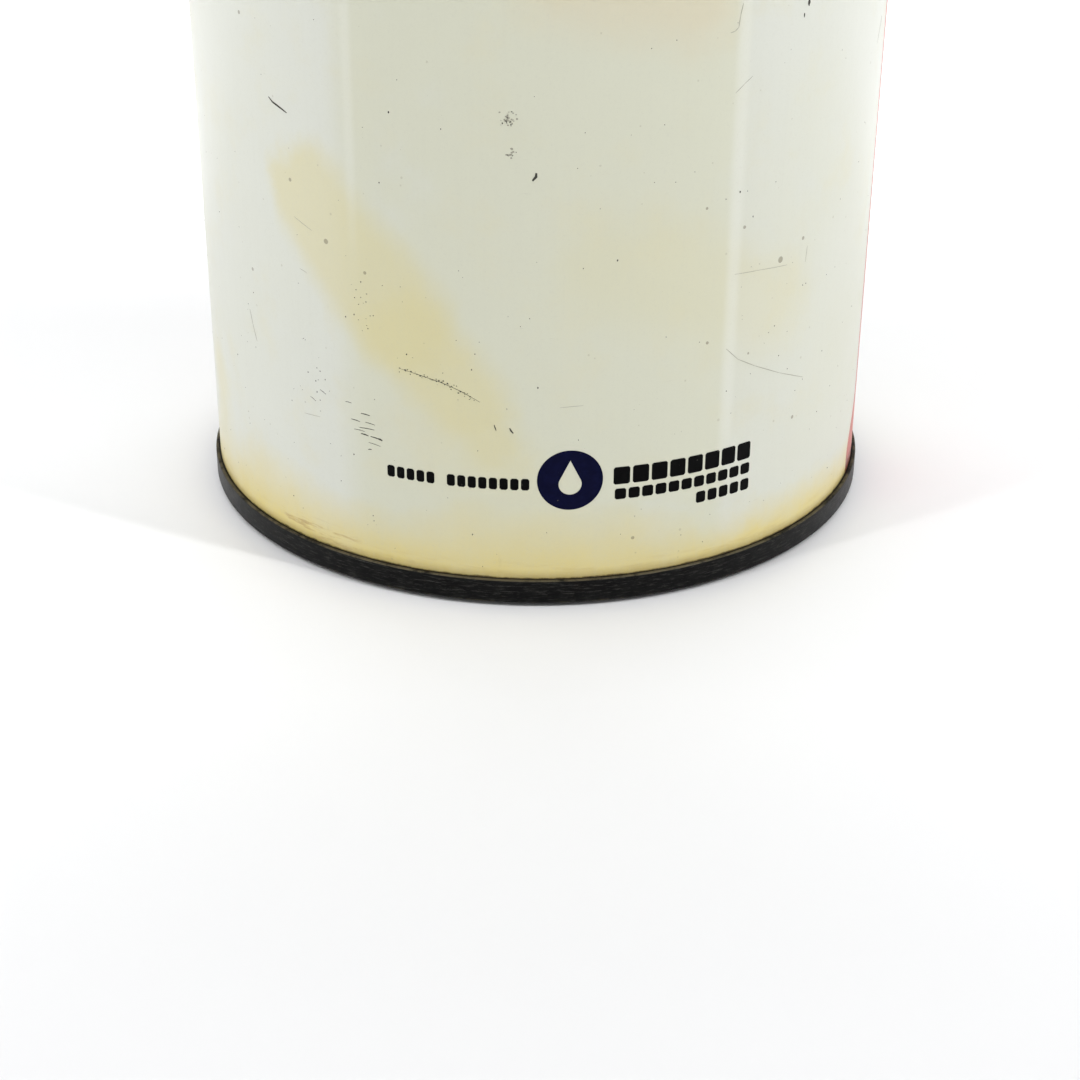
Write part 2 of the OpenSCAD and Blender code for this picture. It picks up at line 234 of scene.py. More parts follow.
# ------------------------------------------------------------------ materials
def enamel():
    g = Graph("white_enamel_aged_with_painted_light")
    s, z = g.wall()
    wob = g.noise(g.pos, 0.045, 4.0, 0.55)
    wob2 = g.noise(g.shift(g.pos, (31.0, 17.0, 5.0)), 0.06, 4.0, 0.6)
    fray = g.noise(g.shift(g.pos, (3.0, 60.0, 8.0)), 0.22, 4.0, 0.6)
    ps = g.add(s, g.add(g.mul(g.sub(wob, 0.5), 7.0), g.mul(g.sub(fray, 0.5), 5.0)))
    pz = g.add(z, g.add(g.mul(g.sub(wob2, 0.5), 7.0), g.mul(g.sub(fray, 0.5), -4.0)))
    p = g.vec(ps, pz)

    white = (0.655, 0.668, 0.600)
    # the front's colour: darker than white as painted shade, and yellower from ageing
    front_shade_cream = (0.628, 0.632, 0.498)
    straw = (0.655, 0.595, 0.315)
    ochre = (0.700, 0.580, 0.202)
    # painted shade: the front between two upright edges is darker than the flanks, standing in for the dim room it
    # faces; its slightly yellower tint is ageing
    front_shade_and_yellow_band = g.mul(g.ss(g.add(s, g.mul(g.sub(wob, 0.5), 2.0)), -27.5, -21.5),
                 g.ss(g.add(s, g.mul(g.sub(wob2, 0.5), 1.0)), 27.0, 23.4))
    front_shade_and_yellow_band = g.mul(front_shade_and_yellow_band, g.ss(z, 112.0, 84.0))
    broad = g.ss(g.noise(g.shift(g.pos, (9.0, -40.0, 3.0)), 0.018, 2.0), 0.42, 0.70)
    # yellowing from noise everywhere, plus the front's painted shade
    yellowing_and_front_shade = g.mx(g.mul(front_shade_and_yellow_band, 0.85), g.mul(broad, 0.55))
    col = g.mix(yellowing_and_front_shade, white, front_shade_cream)
    # slow mottling, cooler and warmer
    mott = g.noise(g.pos, 0.11, 5.0, 0.62)
    col = g.mix(g.mul(g.ss(mott, 0.48, 0.78), 0.40), col, (0.655, 0.625, 0.440))
    cool = g.noise(g.shift(g.pos, (-20.0, 12.0, 44.0)), 0.075, 4.0, 0.6)
    col = g.mix(g.mul(g.ss(cool, 0.55, 0.80), 0.45), col, (0.640, 0.662, 0.610))
    # oil stains
    st1 = g.mx(g.blob(p, (-29.3, 51.5), (-25.6, 47.0), 4.2, 8.6), g.blob(p, (-24.0, 45.0), (-16.5, 37.0), 4.0, 9.0))
    st2 = g.mx(g.blob(p, (-16.0, 35.5), (-8.5, 28.0), 3.0, 8.5), g.mul(g.blob(p, (-7.5, 27.0), (-5.5, 23.0), 1.5, 7.0), 0.85))
    st3 = g.blob(p, (9.0, 46.0), (31.0, 38.0), 2.0, 11.0)
    st4 = g.blob(p, (3.0, 80.0), (18.0, 76.0), 1.0, 9.0)
    st5 = g.blob(p, (-57.0, 20.0), (-56.0, 12.0), 0.5, 6.0)
    st6 = g.blob(p, (-10.0, 22.0), (-1.0, 12.0), 2.0, 12.0)
    st7 = g.blob(p, (118.0, 96.0), (104.0, 70.0), 2.0, 14.0)
    st8 = g.blob(p, (-128.0, 64.0), (-104.0, 40.0), 2.0, 13.0)
    col = g.mix(g.mul(st1, 0.60), col, straw)
    col = g.mix(g.mul(st2, 0.62), col, straw)
    col = g.mix(g.mul(st3, 0.24), col, straw)
    col = g.mix(g.mul(st4, 0.42), col, (0.655, 0.55, 0.36))
    col = g.mix(g.mul(st5, 0.45), col, straw)
    col = g.mix(g.mul(st6, 0.18), col, straw)
    col = g.mix(g.mul(st7, 0.30), col, straw)
    col = g.mix(g.mul(st8, 0.34), col, straw)
    # ochre that has crept up from the seam, most on the left
    left = g.ss(g.noise(g.shift(g.pos, (0.0, 0.0, 77.0)), 0.03, 2.0), 0.35, 0.75)
    lobe = g.blob(g.vec(s, z), (-40.0, 7.0), (-26.0, 3.0), 2.0, 17.0)
    middle = g.blob(g.vec(s, z), (-8.0, 8.0), (10.0, 7.0), 4.0, 14.0)
    reach = g.add(6.0, g.add(g.mul(g.mx(g.mul(lobe, 0.75), g.mul(middle, 0.8)), 7.0), g.mul(left, 1.4)))
    rise = g.m("SUBTRACT", 1.0, g.m("DIVIDE", g.sub(pz, 4.6), reach), clamp=True)
    rise = g.m("POWER", rise, 1.30)
    col = g.mix(g.mul(rise, g.add(0.90, g.mul(lobe, 0.10))), col, ochre)
    # brown smears in the lower left
    smear = g.noise(g.vec(g.mul(s, 0.16), g.mul(z, 1.1), 0.0), 1.0, 4.0, 0.7)
    where = g.mx(g.blob(g.vec(s, z), (-36.0, 5.8), (-25.0, 4.8), 0.3, 2.5), g.mul(g.ss(z, 7.0, 4.4), 0.26))
    col = g.mix(g.mul(g.mul(g.ss(smear, 0.48, 0.68), where), 0.72), col, (0.38, 0.215, 0.055))
    # darker and browner towards the crevice above the rim, nearly black in it
    edge = g.noise(g.pos, 0.9, 3.0, 0.6)
    zc = g.sub(z, g.mul(g.sub(edge, 0.5), 0.5))
    col = g.mix(g.ss(zc, 5.3, 4.15, 0.0, 0.45), col, (0.42, 0.31, 0.10))
    col = g.mix(g.ss(zc, 4.06, 3.84, 0.0, 0.90), col, (0.085, 0.058, 0.020))
    # fine pepper specks and rubbed dust, denser low down
    sp = g.cells(g.pos, 0.32)
    size = g.mul(g.ss(g.noise(g.pos, 0.05, 2.0), 0.35, 0.7), 0.20)
    dots = g.m("LESS_THAN", sp.outputs["Distance"], g.mul(size, g.ss(sp.outputs["Color"], 0.55, 1.0)))
    col = g.mix(g.mul(dots, 0.60), col, (0.17, 0.14, 0.08))
    sp2 = g.cells(g.shift(g.pos, (7.0, 3.0, 1.0)), 0.9)
    dots2 = g.m("LESS_THAN", sp2.outputs["Distance"], g.mul(g.ss(sp2.outputs["Color"], 0.70, 1.0), 0.18))
    col = g.mix(g.mul(dots2, 0.30), col, (0.30, 0.27, 0.17))
    grime = g.mul(g.ss(z, 14.0, 3.0), g.ss(g.noise(g.stretch(g.pos, (1.0, 1.0, 0.35)), 0.55, 5.0, 0.7), 0.60, 0.82))
    col = g.mix(g.mul(grime, 0.25), col, (0.40, 0.32, 0.15))
    # upright draw lines and a fine even grain
    lines = g.noise(g.vec(g.mul(s, 1.1), g.mul(z, 0.030), 0.0), 1.0, 4.0, 0.6)
    col = g.mix(g.mul(g.ss(lines, 0.40, 0.75), 0.06), col, (0.560, 0.560, 0.480))
    # two narrow upright bands of painted highlight, standing in for light reflected off slight flats in the wall
    glint = g.mx(g.mul(g.ss(g.m("ABSOLUTE", g.sub(s, 25.2)), 1.5, 0.2), 0.45),
                 g.mul(g.ss(g.m("ABSOLUTE", g.add(s, 23.2)), 1.1, 0.1), g.mul(g.ss(z, 40.0, 62.0), 0.35)))
    col = g.mix(g.mul(glint, g.mul(g.ss(z, 14.0, 24.0), g.ss(z, 104.0, 80.0))), col, (0.740, 0.748, 0.665))
    grain = g.noise(g.pos, 3.2, 3.0, 0.7)
    col = g.mix(g.mul(g.ss(grain, 0.50, 0.80), 0.22), col, (0.520, 0.515, 0.440))
    # long fine rub marks
    rub = g.noise(g.stretch(g.pos, (0.25, 0.25, 2.4)), 0.8, 4.0, 0.75)
    rubm = g.mul(g.ss(rub, 0.66, 0.74), g.ss(g.noise(g.pos, 0.035, 2.0), 0.50, 0.62))
    col = g.mix(g.mul(rubm, 0.22), col, (0.36, 0.34, 0.27))
    rough = g.add(0.25, g.add(g.mul(mott, 0.12), g.mul(rubm, 0.2)))
    orange = g.noise(g.pos, 1.3, 2.0)
    flaw = g.noise(g.pos, 0.16, 2.0)
    n1 = g.bump(flaw, 0.22, 0.25)
    n2 = g.bump(g.add(orange, g.mul(lines, 0.6)), 0.12, 0.03, n1)
    n3 = g.bump(g.sub(1.0, dots), 0.5, 0.02, n2)
    return g.set(color=col, rough=rough, normal=n3, ior=1.5)


def can_inside():
    g = Graph("lacquered_tinplate")
    n = g.noise(g.stretch(g.pos, (1, 1, 0.15)), 0.35, 4.0, 0.6)
    col = g.mix(g.ss(n, 0.3, 0.7), (0.42, 0.34, 0.16), (0.52, 0.45, 0.24))
    return g.set(color=col, metal=0.85, rough=g.add(0.28, g.mul(n, 0.15)),
                 normal=g.bump(n, 0.15, 0.03), ior=1.5)


def blackened_steel():
    g = Graph("blackened_seam_steel")
    s, z = g.wall()
    r = g.m("SQRT", g.add(g.mul(g.x, g.x), g.mul(g.y, g.y)))
    blot = g.noise(g.pos, 0.55, 5.0, 0.62)
    fine = g.noise(g.vec(g.mul(s, 0.55), g.mul(z, 3.2), g.mul(r, 2.0)), 1.0, 5.0, 0.75)
    col = g.mix(g.ss(blot, 0.36, 0.70), (0.0013, 0.0013, 0.0016), (0.0046, 0.0048, 0.0047))
    col = g.mix(g.mul(g.ss(fine, 0.50, 0.72), 0.90), col, (0.042, 0.041, 0.037))
    # brown rust film, in patches
    rust = g.mul(g.ss(g.noise(g.shift(g.pos, (50.0, 0.0, 9.0)), 0.16, 4.0, 0.6), 0.60, 0.80), 0.4)
    col = g.mix(rust, col, (0.022, 0.012, 0.005))
    # lighter on the top bend, as worn metal with a painted highlight along the bend, and worn bright along the lower
    # bend
    top = g.mul(g.ss(z, 3.62, 3.78), g.ss(g.noise(g.stretch(g.pos, (1, 1, .2)), 0.45, 4.0, 0.7), 0.30, 0.60))
    top = g.mul(top, g.ss(r, 46.0, 46.2))
    low = g.mul(g.ss(z, 0.95, 0.66), g.ss(g.noise(g.pos, 0.8, 4.0, 0.7), 0.46, 0.70))
    low = g.mul(low, g.ss(r, 44.9, 45.1))
    wear = g.mx(g.mul(top, 0.85), g.mul(low, 0.45))
    col = g.mix(wear, col, (0.115, 0.098, 0.060))
    # thin scratches round the rim
    scr = g.noise(g.vec(g.mul(s, 0.10), g.mul(z, 7.0), 0.0), 1.0, 5.0, 0.75)
    scm = g.mul(g.ss(scr, 0.60, 0.68), g.ss(r, 46.30, 46.45))
    col = g.mix(g.mul(scm, 0.75), col, (0.105, 0.103, 0.094))
    rough = g.add(0.30, g.mul(blot, 0.22))
    n1 = g.bump(g.add(blot, g.mul(fine, 0.6)), 0.40, 0.06)
    return g.set(color=col, metal=0.25, rough=rough, normal=n1, ior=1.5, spec=0.12)


def steel(name, dark, light, rough=0.35, metal=0.9, grain=(1, 1, 1), scale=0.4, stain=None, depth=0.03):
    g = Graph(name)
    n = g.noise(g.stretch(g.pos, grain), scale, 5.0, 0.65)
    big = g.noise(g.pos, scale * 0.2, 3.0, 0.5)
    col = g.mix(g.ss(n, 0.3, 0.72), dark, light)
    if stain:
        col = g.mix(g.mul(g.ss(big, 0.52, 0.74), 0.6), col, stain)
    return g.set(color=col, metal=metal, rough=g.add(rough - 0.07, g.mul(n, 0.16)),
                 normal=g.bump(n, 0.25, depth), ior=1.5)


def rubber(name, dark, light, dust=0.25, rough=0.5):
    g = Graph(name)
    n = g.noise(g.pos, 1.6, 5.0, 0.6)
    big = g.noise(g.pos, 0.12, 3.0, 0.5)
    col = g.mix(g.ss(n, 0.3, 0.75), dark, light)
    col = g.mix(g.mul(g.ss(big, 0.45, 0.75), dust), col, (0.075, 0.072, 0.066))
    pit = g.cells(g.pos, 1.2)
    h = g.add(n, g.mul(g.ss(pit.outputs["Distance"], 0.0, 0.25), 0.3))
    return g.set(color=col, rough=g.add(rough, g.mul(big, 0.2)), normal=g.bump(h, 0.3, 0.04), ior=1.52)


def paper():
    g = Graph("resin_filter_paper")
    fib = g.noise(g.stretch(g.pos, (1.0, 1.0, 0.45)), 2.4, 6.0, 0.75)
    big = g.noise(g.pos, 0.08, 3.0)
    col = g.mix(g.ss(fib, 0.28, 0.74), (0.55, 0.38, 0.14), (0.72, 0.55, 0.27))
    col = g.mix(g.mul(g.ss(big, 0.4, 0.75), 0.4), col, (0.60, 0.43, 0.18))
    # fine corrugation across the pleats
    wave = g.m("SINE", g.mul(g.z, 2.6))
    h = g.add(g.mul(fib, 0.6), g.mul(wave, 0.18))
    return g.set(color=col, rough=0.86, normal=g.bump(h, 0.55, 0.12), ior=1.45)


def adhesive():
    g = Graph("plastisol_adhesive")
    n = g.noise(g.pos, 0.35, 4.0, 0.6)
    col = g.mix(g.ss(n, 0.3, 0.75), (0.46, 0.16, 0.06), (0.58, 0.24, 0.10))
    b = g.cells(g.pos, 0.55)
    h = g.add(n, g.mul(g.ss(b.outputs["Distance"], 0.05, 0.3), 0.4))
    return g.set(color=col, rough=g.add(0.36, g.mul(n, 0.2)), normal=g.bump(h, 0.3, 0.12), ior=1.5)


def compound():
    g = Graph("seam_compound")
    n = g.noise(g.pos, 0.8, 4.0, 0.6)
    col = g.mix(g.ss(n, 0.3, 0.75), (0.24, 0.16, 0.08), (0.36, 0.27, 0.15))
    return g.set(color=col, rough=g.add(0.6, g.mul(n, 0.2)), normal=g.bump(n, 0.3, 0.03), ior=1.5)


def ink(name, deep, thin, rough=0.34, wear=0.35, spec=0.05):
    g = Graph(name)
    n = g.noise(g.pos, 1.1, 5.0, 0.65)
    f = g.noise(g.pos, 5.5, 3.0, 0.6)
    col = g.mix(g.ss(n, 0.35, 0.75), deep, thin)
    pin = g.mul(g.ss(f, 0.74, 0.80), wear)
    col = g.mix(pin, col, (0.55, 0.54, 0.45))
    return g.set(color=col, rough=g.add(rough, g.mul(n, 0.12)), normal=g.bump(f, 0.15, 0.01), ior=1.5, spec=spec)


def red_panel():
    g = Graph("red_printed_panel")
    s, z = g.wall()
    n = g.noise(g.pos, 0.09, 4.0, 0.6)
    f = g.noise(g.pos, 3.0, 3.0, 0.6)
    col = g.mix(g.ss(n, 0.3, 0.75), (0.56, 0.030, 0.022), (0.50, 0.045, 0.030))
    col = g.mix(g.mul(g.ss(g.noise(g.pos, 0.03, 3.0), 0.5, 0.75), 0.35), col, (0.55, 0.10, 0.045))
    pin = g.mul(g.ss(f, 0.72, 0.78), 0.30)
    col = g.mix(pin, col, (0.60, 0.40, 0.33))
    low = g.ss(g.sub(z, g.mul(g.noise(g.pos, 0.6, 3.0), 2.0)), 6.0, 3.6)
    col = g.mix(g.mul(low, 0.75), col, (0.10, 0.030, 0.010))
    return g.set(color=col, rough=g.add(0.26, g.mul(n, 0.12)), normal=g.bump(n, 0.2, 0.2), ior=1.5)


M = {
    "enamel": enamel(),
    "inside": can_inside(),
    "rim": blackened_steel(),
    "plate": steel("phosphated_plate_steel", (0.17, 0.17, 0.175), (0.30, 0.30, 0.30), 0.42, 0.85,
                   stain=(0.16, 0.12, 0.07)),
    "gasket": rubber("nitrile_gasket", (0.011, 0.011, 0.012), (0.022, 0.022, 0.023), 0.25, 0.42),
    "flap": rubber("nitrile_flap", (0.016, 0.016, 0.018), (0.032, 0.032, 0.034), 0.15, 0.50),
    "tin": steel("tinplate_cap", (0.46, 0.44, 0.36), (0.62, 0.60, 0.50), 0.28, 0.92,
                 grain=(1, 0.25, 1), stain=(0.44, 0.36, 0.20)),
    "tube": steel("plain_tube_steel", (0.36, 0.36, 0.35), (0.52, 0.52, 0.50), 0.34, 0.92,
                  grain=(1, 1, 0.3)),
    "zinc": steel("yellow_zinc_steel", (0.48, 0.44, 0.26), (0.62, 0.58, 0.38), 0.30, 0.92,
                  stain=(0.40, 0.42, 0.38)),
    "spring": steel("oiled_spring_wire", (0.15, 0.15, 0.16), (0.27, 0.27, 0.28), 0.30, 0.92, scale=0.9),
    "paper": paper(),
    "glue": adhesive(),
    "compound": compound(),
    "black_ink": ink("black_print", (0.0008, 0.0008, 0.0009), (0.0018, 0.0018, 0.0019)),
    "navy_ink": ink("navy_print", (0.0014, 0.0020, 0.0185), (0.0024, 0.0034, 0.0270)),
    "red_ink": red_panel(),
    "teal_ink": ink("teal_print", (0.010, 0.105, 0.125), (0.020, 0.135, 0.150), 0.3, 0.25),
    "mark": ink("bare_metal_scratch", (0.045, 0.042, 0.036), (0.10, 0.095, 0.080), 0.5, 0.0),
    "smudge": ink("grey_scuff_and_dent_shade", (0.33, 0.32, 0.26), (0.40, 0.39, 0.31), 0.6, 0.0),
}


# ------------------------------------------------------------------ mesh helpers
def fillet(points):
    """Rounds the corners of a closed outline: each point is (x, y) or (x, y, radius)."""
    out, n = [], len(points)
    for i, p in enumerate(points):
        r = p[2] if len(p) > 2 else 0.0
        v = Vector(p[:2])
        if r <= 0:
            out.append((v.x, v.y))
            continue
        a = (Vector(points[i - 1][:2]) - v)
        b = (Vector(points[(i + 1) % n][:2]) - v)
        la, lb = a.length, b.length
        a.normalize()
        b.normalize()
        ang = a.angle(b)
        t = min(r / math.tan(ang / 2), la * 0.499, lb * 0.499)
        r = t * math.tan(ang / 2)
        c = v + (a + b).normalized() * (r / math.sin(ang / 2))
        p0, p1 = v + a * t, v + b * t
        a0 = math.atan2(p0.y - c.y, p0.x - c.x)
        a1 = math.atan2(p1.y - c.y, p1.x - c.x)
        d = (a1 - a0 + math.pi) % (2 * math.pi) - math.pi
        k = max(2, int(abs(d) / math.radians(14)) + 1)
        out += [(c.x + r * math.cos(a0 + d * j / k), c.y + r * math.sin(a0 + d * j / k))
                for j in range(k + 1)]
    return out


def make(name, verts, faces, mat, body, sharp=35.0):
    me = bpy.data.meshes.new(name)
    me.from_pydata([(x * MM, y * MM, z * MM) for x, y, z in verts], [], faces)
    me.validate()
    for q in (mat if isinstance(mat, list) else [mat]):
        me.materials.append(M[q])
    bm = bmesh.new()
    bm.from_mesh(me)
    bmesh.ops.remove_doubles(bm, verts=bm.verts, dist=1e-7)
    bmesh.ops.recalc_face_normals(bm, faces=bm.faces)
    bm.to_mesh(me)
    bm.free()
    me.polygons.foreach_set("use_smooth", [True] * len(me.polygons))
    if sharp:
        me.set_sharp_from_angle(angle=math.radians(sharp))
    ob = bpy.data.objects.new(name, me)
    bpy.context.scene.collection.objects.link(ob)
    if body:
        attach(ob, body)
    return ob


def lathe(name, outline, mat, body, segs=160, bend=None, sharp=35.0, closed=True):
    """Turns an (r, z) outline about the axis. bend(r, z, angle, i) may move a point."""
    n = len(outline)
    verts, index = [], []
    for i, (r, z) in enumerate(outline):
        if r < 1e-6:
            index.append([len(verts)] * segs)
            verts.append((0.0, 0.0, z))
            continue
        row = []
        for j in range(segs):
            a = 2 * math.pi * j / segs
            rr, zz = bend(r, z, a, i) if bend else (r, z)
            row.append(len(verts))
            verts.append((rr * math.cos(a), rr * math.sin(a), zz))
        index.append(row)
    faces = []
    for i in range(n if closed else n - 1):
        a, b = index[i], index[(i + 1) % n]
        for j in range(segs):
            k = (j + 1) % segs
            q = []
            for v in (a[j], a[k], b[k], b[j]):
                if v not in q:
                    q.append(v)
            if len(q) > 2:
                faces.append(q)
    return make(name, verts, faces, mat, body, sharp)


def densify(outline, step, where=lambda a, b: True):
    """Adds points along long straight stretches of an outline."""
    out = []
    for i, a in enumerate(outline):
        b = outline[(i + 1) % len(outline)]
        out.append(a)
        d = math.dist(a, b)
        if d > step and where(a, b):
            k = int(math.ceil(d / step))
            out += [(a[0] + (b[0] - a[0]) * j / k, a[1] + (b[1] - a[1]) * j / k) for j in range(1, k)]
    return out


def ripple(a, z):
    """How far the can's wall lies inside its true cylinder, in mm: handling has left it slightly uneven."""
    if z < 6.0 or z > 121.0:
        return 0.0
    fade = min(1.0, (z - 6.0) / 10.0, (121.0 - z) / 8.0)
    p = Vector((math.cos(a) * 1.9, math.sin(a) * 1.9, z * 0.022))
    q = Vector((math.cos(a) * 4.6 + 7, math.sin(a) * 4.6, z * 0.05))
    w = 0.030 * (0.5 + 0.5 * noise.noise(p)) + 0.010 * (0.5 + 0.5 * noise.noise(q))
    return w * fade


# ------------------------------------------------------------------ can
def build_can():
    pr, st = 26.0, 0.8
    outer = [(CAN_R, SEAM_Z + 0.72), (CAN_R, RING_Z, SHOULDER), (pr + 2.2, RING_Z, 1.6),
             (pr - 0.2, TOTAL_H, 1.6)]
    profile = fillet(
        [(CAN_RI, SEAM_Z + 0.5), (CAN_R + 2 * LAYER, SEAM_Z + 0.5, 0.08),
         (CAN_R + 2 * LAYER, SEAM_TOP - 0.65), (CAN_R + LAYER, SEAM_TOP - 0.65),
         (CAN_R + LAYER, SEAM_Z + 0.72)] + outer +
        [(0.0, TOTAL_H), (0.0, TOTAL_H - CAN_T), (pr - 0.3, TOTAL_H - CAN_T, 1.3),
         (pr + 2.1, RING_Z - CAN_T, 1.9), (CAN_RI, RING_Z - CAN_T, SHOULDER - CAN_T)])
    profile = densify(profile, 2.2, lambda a, b: min(a[0], b[0]) > 44 and abs(a[1] - b[1]) > 5)
    profile = densify(profile, 3.0, lambda a, b: abs(a[1] - b[1]) < 0.1)

    def bend(r, z, a, i):
        if r > 44.5:
            return r - ripple(a, z), z
        return r, z
    ob = lathe("can_shell", profile, ["enamel", "inside"], "housing", 256, bend, 40)
    me = ob.data
    for p in me.polygons:
        c, nrm = p.center, p.normal
        radial = c.x * nrm.x + c.y * nrm.y
        z = c.z / MM
        r = math.hypot(c.x, c.y) / MM
        inner = (radial < 0 and abs(nrm.z) < 0.7 and r < CAN_R - 0.15) or (nrm.z < -0.3 and z > 100) or z < 1.1
        p.material_index = 1 if inner else 0
    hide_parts("can")
    return ob


build_can()


# ------------------------------------------------------------------ seaming lid with the rolled rim
def build_lid():
    t, land, cs = LID_T, LAND, SEAM_Z + 3.5
    outline = fillet([
        (GI - t, land + 0.9, 0.2), (GI, land + 0.9, 0.2), (GI, GASKET_T, 0.15), (GO, GASKET_T, 0.15),
        (GO, land, 0.75), (GO + 6.0, land, 1.6), (CAN_RI - 2.9, cs, 0.9), (CAN_RI - t, cs, 0.5),
        (CAN_RI - t, SEAM_Z, 0.3), (SEAM_R, SEAM_Z, 0.32), (SEAM_R, SEAM_TOP, 0.24),
        (CAN_R, SEAM_TOP - 0.02, 0.08), (CAN_R, SEAM_Z + 0.95, 0.05), (CAN_R + LAYER, SEAM_Z + 0.95, 0.05),
        (CAN_R + LAYER, SEAM_TOP - LAYER - 0.1), (CAN_R + 2 * LAYER, SEAM_TOP - LAYER - 0.1),
        (CAN_R + 2 * LAYER, SEAM_Z + LAYER), (CAN_RI, SEAM_Z + LAYER), (CAN_RI, cs + t),
        (CAN_RI - 3.1, cs + t, 1.2), (GO + 5.8, land + t, 1.2), (GO + t, land + t, 0.3),
        (GO + t, GASKET_T + t), (GI - t, GASKET_T + t)])
    outline = densify(outline, 0.8, lambda a, b: min(a[0], b[0]) > SEAM_R - 0.02)

    def bend(r, z, a, i):
        # the roller has left the seam's face very slightly uneven
        if r > 46.2 and 0.8 < z < 3.7:
            w = noise.noise(Vector((math.cos(a) * 9, math.sin(a) * 9, z * 0.6)))
            return r - 0.012 * (0.5 + 0.5 * w), z
        if r > 45.9 and z >= 3.7:
            w = noise.noise(Vector((math.cos(a) * 14, math.sin(a) * 14, 3.0)))
            return r, z - 0.03 * (0.5 + 0.5 * w)
        return r, z
    ob = lathe("rolled_rim_lid", outline, "rim", "housing", 320, bend, 50)
    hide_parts("seaming_lid")


build_lid()


# ------------------------------------------------------------------ gasket
def build_gasket():
    c = 0.55
    outline = fillet([(GI, 0.0, c), (GO, 0.0, c), (GO, GASKET_T), (GI, GASKET_T)])
    # two shallow moulded grooves in the sealing face
    face = [p for p in outline]
    i = max(k for k, p in enumerate(face) if p[1] < 1e-6 and p[0] < (GI + GO) / 2)
    mid = []
    for cx in (GI + 1.75, GO - 1.75):
        mid += [(cx - 0.35, 0.0), (cx - 0.18, 0.12), (cx + 0.18, 0.12), (cx + 0.35, 0.0)]
    outline = face[:i + 1] + mid + face[i + 1:]
    ob = lathe("sealing_gasket", outline, "gasket", "housing", 192, None, 40)
    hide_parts("base_gasket")


build_gasket()


# ------------------------------------------------------------------ tapping plate, with a real thread in its hub
def build_plate():
    pitch, major = 25.4 / 16, 9.525
    z0, z1 = PLATE_Z + 2.0, HUB_TOP
    rows = 96
    outline = fillet([(HUB_R, HUB_TOP, 0.5), (HUB_R, PLATE_TOP, 1.2), (PLATE_R, PLATE_TOP, 0.6),
                      (PLATE_R, PLATE_Z, 0.25), (major + 2.4, PLATE_Z, 1.9), (major + 0.15, z0 + 0.6)])
    bore = [(BORE_R, z0 + 0.7 + (z1 - z0 - 0.9) * k / rows) for k in range(rows + 1)]
    outline = outline + bore + [(major + 0.2, z1)]
    first = len(outline) - len(bore) - 1

    def bend(r, z, a, i):
        if first <= i < first + len(bore):
            ph = (z / pitch - a / (2 * math.pi)) % 1.0
            tri = abs(ph - 0.5) * 2                       # 0 at a crest, 1 at a root
            tri = min(1.0, max(0.0, (tri - 0.12) / 0.76))
            depth = major - BORE_R
            ends = min(1.0, (z - z0 - 0.4) / 1.3, (z1 - z) / 1.0)
            rr = BORE_R + depth * tri
            lead = major + 0.1
            return rr * ends + lead * (1 - ends), z
        return r, z
    ob = lathe("threaded_plate", outline, "plate", None, 160, bend, 30)
    # inlet holes, cut with a bevelled cutter
    cut = bmesh.new()
    for k in range(8):
        a = math.radians((k + 0.5) * 45)
        ring = []
        prof = [(4.55, PLATE_Z - 0.3), (4.3, PLATE_Z), (4.0, PLATE_Z + 0.3), (4.0, PLATE_TOP - 0.2),
                (4.2, PLATE_TOP), (4.4, PLATE_TOP + 0.3)]
        for r, z in prof:
            ring.append([cut.verts.new(((22.5 * math.cos(a) + r * math.cos(t * math.pi / 20)) * MM,
                                        (22.5 * math.sin(a) + r * math.sin(t * math.pi / 20)) * MM, z * MM))
                         for t in range(40)])
        for p, q in zip(ring, ring[1:]):
            for t in range(40):
                cut.faces.new((p[t], p[(t + 1) % 40], q[(t + 1) % 40], q[t]))
        cut.faces.new(ring[0][::-1])
        cut.faces.new(ring[-1])
    me = bpy.data.meshes.new("cutter")
    bmesh.ops.recalc_face_normals(cut, faces=cut.faces)
    cut.to_mesh(me)
    cut.free()
    cutter = bpy.data.objects.new("cutter", me)
    bpy.context.scene.collection.objects.link(cutter)
    mod = ob.modifiers.new("holes", "BOOLEAN")
    mod.operation, mod.solver, mod.object = "DIFFERENCE", "EXACT", cutter
    dg = bpy.context.evaluated_depsgraph_get()
    new = bpy.data.meshes.new_from_object(ob.evaluated_get(dg))
    ob.modifiers.clear()
    old = ob.data
    ob.data = new
    bpy.data.meshes.remove(old)
    bpy.data.objects.remove(cutter)
    new.polygons.foreach_set("use_smooth", [True] * len(new.polygons))
    new.set_sharp_from_angle(angle=math.radians(30))
    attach(ob, "housing")
    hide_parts("tapping_plate")


build_plate()


# ------------------------------------------------------------------ drain-back flap: a collar and a lip that lifts in use, built here as one fixed piece
def build_flap():
    p, lip, h = PLATE_TOP, 31.5, HUB_R
    outline = fillet([
        (h + 0.3, p + 0.02, 0.2), (h + 2.0, p + 0.02, 0.3), (h + 2.1, p + 2.9, 0.8),
        (lip - 3.2, p + 0.75, 0.8), (lip - 1.9, p + 0.02, 0.2), (lip - 0.3, p + 0.02, 0.15),
        (lip, p + 0.4, 0.3), (lip - 0.2, p + 1.2, 0.3), (lip - 2.4, p + 1.75, 1.0),
        (h + 4.6, p + 4.4, 1.5), (h + 3.6, p + 5.4, 0.8), (h + 3.4, EL_Z - 0.02, 0.2),
        (h + 0.3, EL_Z - 0.02, 0.2)])
    outline = densify(outline, 1.2)

    def bend(r, z, a, i):
        # moulded ribs on the outer face of the skirt
        if z > p + 1.2 and 17.5 < r < 28.5:
            w = max(0.0, math.cos(12 * a)) ** 8
            return r, z + 0.35 * w * min(1.0, (r - 17.5) / 2, (28.5 - r) / 2)
        return r, z
    ob = lathe("drainback_flap_rubber", outline, "flap", None, 192, bend, 40)
    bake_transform(ob)
    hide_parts("anti_drainback_valve")


build_flap()


